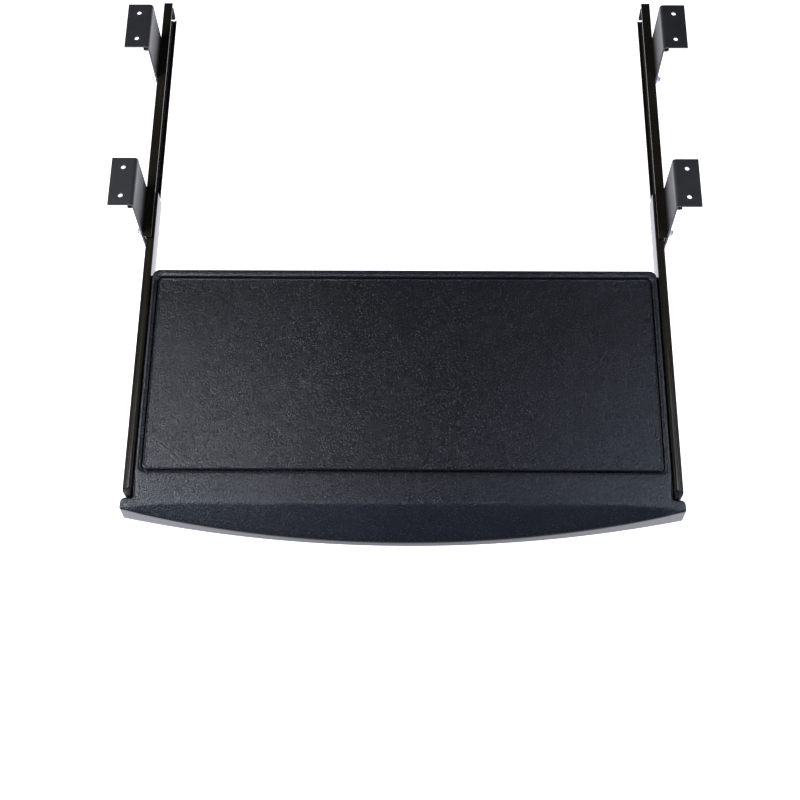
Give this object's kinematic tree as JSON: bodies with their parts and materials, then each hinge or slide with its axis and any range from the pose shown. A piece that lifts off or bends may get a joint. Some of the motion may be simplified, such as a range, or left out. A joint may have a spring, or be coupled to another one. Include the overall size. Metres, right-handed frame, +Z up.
{
  "type": "under-desk keyboard tray",
  "caption": "Pull-out keyboard tray with a bowed wrist-rest front and recessed bed, riding on ball-bearing slides that hang from desk brackets.",
  "frame": {"origin": "centre of the desk screw pattern, on the plane of the desk's underside", "axes": "+Z up towards the desk, -Y the way the tray pulls out, X across the tray"},
  "size_m": [0.638, 0.6735, 0.0917],
  "materials": {
    "tray_moulding": "pebble-grained black moulding",
    "bed_mat": "fine-grained non-slip mat",
    "slide_black": "gloss brown-black lacquered steel",
    "cap_plastic": "smooth black plastic",
    "bracket_black": "satin black powder coat",
    "zinc_steel": "bright zinc plate",
    "cage_steel": "plain pressed steel strip",
    "ball_chrome": "polished bearing steel",
    "bumper_rubber": "soft black rubber"
  },
  "bodies": {
    "hanger": {"left_desk_rail": "slide_black", "right_desk_rail": "slide_black", "left_front_bracket": "bracket_black", "right_front_bracket": "bracket_black", "left_rear_bracket": "bracket_black", "right_rear_bracket": "bracket_black", "left_rail_studs": "zinc_steel", "right_rail_studs": "zinc_steel", "left_bracket_nuts": "zinc_steel", "right_bracket_nuts": "zinc_steel", "left_rear_bumper": "bumper_rubber", "right_rear_bumper": "bumper_rubber"},
    "tray": {"tray_shell": "tray_moulding", "keyboard_mat": "bed_mat", "left_drawer_rail": "slide_black", "right_drawer_rail": "slide_black", "left_rail_end_cap": "cap_plastic", "right_rail_end_cap": "cap_plastic", "left_tray_screws": "zinc_steel", "right_tray_screws": "zinc_steel"},
    "left_cage": {"left_ball_cage": "cage_steel", "left_balls": "ball_chrome"},
    "right_cage": {"right_ball_cage": "cage_steel", "right_balls": "ball_chrome"}
  },
  "joints": [
    {"name": "tray_slide", "type": "slide", "parent": "hanger", "child": "tray", "axis": [0, -1, 0], "range_m": [-0.26, 0]},
    {"name": "left_cage_slide", "type": "slide", "parent": "hanger", "child": "left_cage", "axis": [0, -1, 0], "range_m": [-0.13, 0]},
    {"name": "right_cage_slide", "type": "slide", "parent": "hanger", "child": "right_cage", "axis": [0, -1, 0], "range_m": [-0.13, 0]}
  ],
  "couplings": [
    {"joint": "left_cage_slide", "follows": "tray_slide", "ratio": 0.5},
    {"joint": "right_cage_slide", "follows": "tray_slide", "ratio": 0.5}
  ]
}
